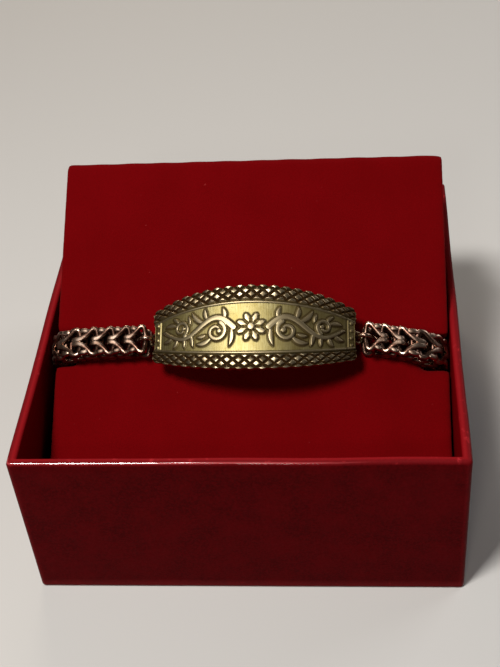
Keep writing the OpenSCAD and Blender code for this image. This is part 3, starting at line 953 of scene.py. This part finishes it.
def link_corners():
    """The link's outline as (out, along, spread), all the way round."""
    corners, last = [], 2 * len(QUARTER) - 2
    for way in (1, -1):
        for j in range(last + 1):
            out, along, spread = QUARTER[min(j, last - j)]
            corners.append((way * out, along, (-1 if j < len(QUARTER) else 1) * way * spread))
    return np.array(corners)


link_points = tube(rounded(link_corners()), LINK_WIRE_R, np.array((0, 2.2, 0)))
print("a link is", np.ptp(link_points, axis=0).round(2), "mm with its wire")

# %% Carry the link along
RING_REACH = 2.7
FIRST_LINK = RING_REACH + 2 * LINK_STEP
WIDE, THICK = 1.075, 0.90       # the link is a little wider than it is thick
HALF_W, HALF_T = CHAIN_W / 2 - 0.04, CHAIN_T / 2 - 0.04     # to the burnished flats


def chain(side, name, node):
    """A run of links, with painted shade inside and between the waist and the ears."""
    length = sum(l for l, _ in route(side))
    count = 2 * int(((length - FIRST_LINK) / LINK_STEP + 1) / 2)
    faces = tube_faces(len(link_points) // WIRE_SIDES, WIRE_SIDES)
    out, along, spread = link_points.T
    reach = np.abs(spread)
    # painted shade on the wire between the waist and the ears
    painted_shade_band = 0.95 * step(0.6, 1.15, reach) * step(2.5, 2.1, reach)
    links, outermost = [], []
    for k in range(count):
        up, rise = (out, spread) if k % 2 else (spread, out)
        up, rise = np.clip(WIDE * up, -HALF_W, HALF_W), np.clip(THICK * rise, -HALF_T, HALF_T)
        points = beside(side, FIRST_LINK + k * LINK_STEP - along, up, rise)
        links.append((points, outward(points, faces) if k == 0 else links[0][1]))
        outermost.append(np.maximum(np.abs(up) * CHAIN_T / CHAIN_W, np.abs(rise)))
    points, faces = join(links)
    outermost = np.concatenate(outermost)
    # painted shade inside the chain, and on the arms of each link
    painted_shade_and_tone = np.maximum(step(2.35, 1.3, outermost), np.tile(painted_shade_band, count))
    masks = {"flat": step(2.55, 2.605, outermost), "painted_shade_and_tone": painted_shade_and_tone}
    add_piece(name, points, faces, chain_gold, "chain_gold", node, masks=masks)


chain(-1, "foxtail_left", "chain_left")
chain(1, "foxtail_right", "chain_right")

# %% [markdown]
# ### End rings
# A long ring of thinner wire joins each eye to the first link. It is made as the link was: a few
# corners, rounded into a closed path, with a tube round it.

# %% End rings
RING_WIRE_R = 0.45


def end_ring(side, name, node):
    quarter = ((1.5, 0.0), (2.3, 0.5), (2.55, 1.35), (2.3, RING_REACH - 0.45), (1.5, RING_REACH))
    corners = np.array([(out, along, 0) for out, along in quarter]
                       + [(-out, RING_REACH - along, 0) for out, along in quarter])
    out, along, spread = tube(rounded(corners), RING_WIRE_R, np.array((0, RING_REACH / 2, 0))).T
    points = beside(side, RING_REACH - along, spread, out)
    faces = outward(points, tube_faces(len(points) // WIRE_SIDES, WIRE_SIDES))
    # the ring's wire is a darker tone all over
    masks = {"flat": np.zeros(len(points)), "painted_shade_and_tone": np.full(len(points), 0.3)}
    add_piece(name, points, faces, chain_gold, "chain_gold", node, masks=masks)


end_ring(-1, "ring_left", "end_ring_left")
end_ring(1, "ring_right", "end_ring_right")

# %% [markdown]
# ## The clasp
# The clasp lies under the insert, where nothing shows it. Its solid is already right, so it only
# takes the chain's gold.

# %% Clasp
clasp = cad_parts["clasp"]
clasp.data.materials.clear()
clasp.data.materials.append(chain_gold.material)

# %% [markdown]
# ## Floor and light
# A plain pale floor and four soft lamps. The main one is high at the front left, as in the
# photograph: it gives nearly all the light and drops the plate's shadow on the velour. The others
# are weak. The warm one in front is what the front rim's thin line mirrors, over a highlight
# painted on that rim; the broad one at the right keeps the shadows open, and the warm one behind
# glints on the upper sides of the wires.

# %% Floor
FLOOR_HALF, FLOOR_Z = 1.5, -0.0002      # in metres, a hair below the box


def pale_floor():
    floor_finish = Finish("pale_floor", base_color=(0.62, 0.61, 0.60, 1), roughness=0.8)
    corners = [(x * FLOOR_HALF, y * FLOOR_HALF, FLOOR_Z) for x, y in ((-1, -1), (1, -1), (1, 1), (-1, 1))]
    mesh = bpy.data.meshes.new("floor")
    mesh.from_pydata(corners, [], [(0, 1, 2, 3)])
    floor = bpy.data.objects.new("floor", mesh)
    bpy.context.scene.collection.objects.link(floor)
    mesh.materials.append(floor_finish.material)


pale_floor()
print("floor is", 2 * FLOOR_HALF, "m wide")


# %% Lamps
def soft_lamp(name, place, aim, size, power, tint=(1, 1, 1)):
    """A square lamp at place that shines at aim. Places are in metres, power is in watts."""
    data = bpy.data.lights.new(name, "AREA")
    data.size, data.energy, data.color = size, power, tint
    lamp = bpy.data.objects.new(name, data)
    lamp.location = place
    lamp.rotation_euler = (Vector(place) - Vector(aim)).to_track_quat("Z", "Y").to_euler()
    bpy.context.scene.collection.objects.link(lamp)
    print(name, "gives", power, "W")


soft_lamp("main_lamp", (-0.125, -0.185, 0.475), (0, -0.01, 0.04), 0.10, 2.4, (1.0, 0.97, 0.92))
soft_lamp("front_lamp", (-0.04, -0.42, 0.34), (0, -0.02, 0.04), 0.05, 0.20, (1.0, 0.92, 0.82))
soft_lamp("side_lamp", (0.34, 0.234, 0.20), (0, 0, 0.03), 0.25, 0.45)
soft_lamp("back_lamp", (-0.10, 0.45, 0.34), (0, 0, 0.04), 0.20, 0.6, (1.0, 0.86, 0.70))
world = bpy.data.worlds.new("studio")
world.use_nodes = True
background = world.node_tree.nodes["Background"].inputs
background["Color"].default_value = (1.0, 0.93, 0.85, 1)
background["Strength"].default_value = 0.03
bpy.context.scene.world = world
bpy.context.scene.view_settings.view_transform = "Standard"
